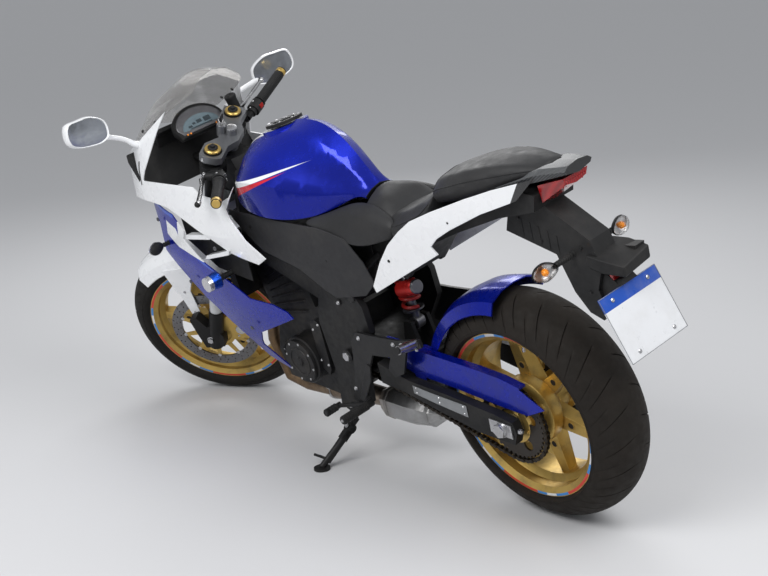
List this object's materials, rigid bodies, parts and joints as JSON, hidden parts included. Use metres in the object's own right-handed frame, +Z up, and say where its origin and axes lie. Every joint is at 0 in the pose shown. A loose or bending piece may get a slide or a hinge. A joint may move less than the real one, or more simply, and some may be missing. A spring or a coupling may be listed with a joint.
{
  "type": "sport motorcycle",
  "caption": "Faired sport motorcycle with spoked alloy wheels, clip-on bars, stepped seat and under-engine silencer, leaning on its side stand.",
  "frame": {"origin": "on the floor under the middle of the parked motorcycle's bounding box", "axes": "+X forward along the machine, towards the front wheel; +Y to the rider's left, the side it leans to; +Z up"},
  "size_m": [2.1185, 0.8217, 1.1306],
  "materials": {
    "axle_steel": "zinc plated",
    "black_metal": "satin black paint",
    "blue_paint": "metallic blue",
    "bracket_black": "satin dark",
    "carbon_look": "woven pattern",
    "chain_steel": "oiled",
    "clamp_grey": "satin grey",
    "control_black": "matt",
    "cover_grey": "matt dark grey",
    "disc_steel": "ground steel",
    "engine_dark": "satin dark grey",
    "exhaust_steel": "heat tinted",
    "fork_chrome": "polished",
    "gold_caliper": "satin gold paint",
    "gold_wheel": "satin gold paint",
    "grip_rubber": "ribbed",
    "lamp_clear": "clear",
    "lamp_red": "clear red",
    "mirror_silver": "mirror",
    "plate_white": "gloss white",
    "radiator_black": "matt",
    "screen_clear": "lightly smoked",
    "seat_vinyl": "grained vinyl",
    "shock_red": "gloss",
    "signal_clear": "clear",
    "silencer_metal": "satin",
    "sprocket_steel": "dark plated steel",
    "tank_paint": "metallic blue",
    "tyre_rubber": "worn road rubber",
    "under_black": "matt",
    "white_paint": "gloss white"
  },
  "bodies": {
    "rear_wheel": {"rear_tyre": "tyre_rubber", "rear_rim": "gold_wheel", "rear_brake_disc": "disc_steel", "rear_sprocket": "sprocket_steel"},
    "front_wheel": {"front_tyre": "tyre_rubber", "front_rim": "gold_wheel", "front_brake_discs": "disc_steel"},
    "steering": {"fork_legs": "black_metal", "fork_tubes": "fork_chrome", "fork_clamps": "clamp_grey", "handlebars": "black_metal", "grips": "grip_rubber", "hand_controls": "control_black", "front_mudguard": "white_paint", "front_calipers": "gold_caliper"},
    "side_stand": {"side_stand": "black_metal"},
    "filler_cap": {"filler_cap": "black_metal"},
    "chassis": {"frame": "black_metal", "engine": "engine_dark", "radiator": "radiator_black", "exhaust_pipe": "exhaust_steel", "silencer": "silencer_metal", "swingarm": "black_metal", "rear_axle": "axle_steel", "rear_caliper": "gold_caliper", "drive_chain": "chain_steel", "rear_shock": "shock_red", "rear_hugger": "blue_paint", "fuel_tank": "tank_paint", "rider_seat": "seat_vinyl", "pillion_seat": "seat_vinyl", "tail_panels": "white_paint", "tail_cover": "carbon_look", "tail_lamp": "lamp_red", "under_tail": "under_black", "number_plate": "plate_white", "turn_signals": "signal_clear", "upper_fairing": "white_paint", "windscreen": "screen_clear", "headlamp": "lamp_clear", "side_fairings": "blue_paint", "side_covers": "cover_grey", "mirrors": "white_paint", "mirror_glasses": "mirror_silver", "cockpit_panel": "under_black", "footrests": "bracket_black", "crash_bobbins": "blue_paint"}
  },
  "joints": [
    {"name": "rear_wheel_spin", "type": "hinge", "parent": "chassis", "child": "rear_wheel", "pos_m": [-0.64, -0.14, 0.31024], "axis": [0, 0.9781, -0.2079], "continuous": true},
    {"name": "steering_turn", "type": "hinge", "parent": "chassis", "child": "steering", "pos_m": [0.50187, -0.03021, 0.82676], "axis": [-0.4171, 0.189, 0.889], "range_deg": [-70, 0]},
    {"name": "front_wheel_spin", "type": "hinge", "parent": "steering", "child": "front_wheel", "pos_m": [0.79064, -0.12423, 0.27968], "axis": [-0.5213, 0.7515, -0.4043], "continuous": true},
    {"name": "side_stand_fold", "type": "hinge", "parent": "chassis", "child": "side_stand", "pos_m": [0.02092, -0.02854, 0.10352], "axis": [0.0658, 0.7224, 0.6883], "range_deg": [0, 99]},
    {"name": "filler_cap_lid", "type": "hinge", "parent": "chassis", "child": "filler_cap", "pos_m": [0.22175, 0.00255, 0.98087], "axis": [0, 0.9781, -0.2079], "range_deg": [0, 85]}
  ]
}
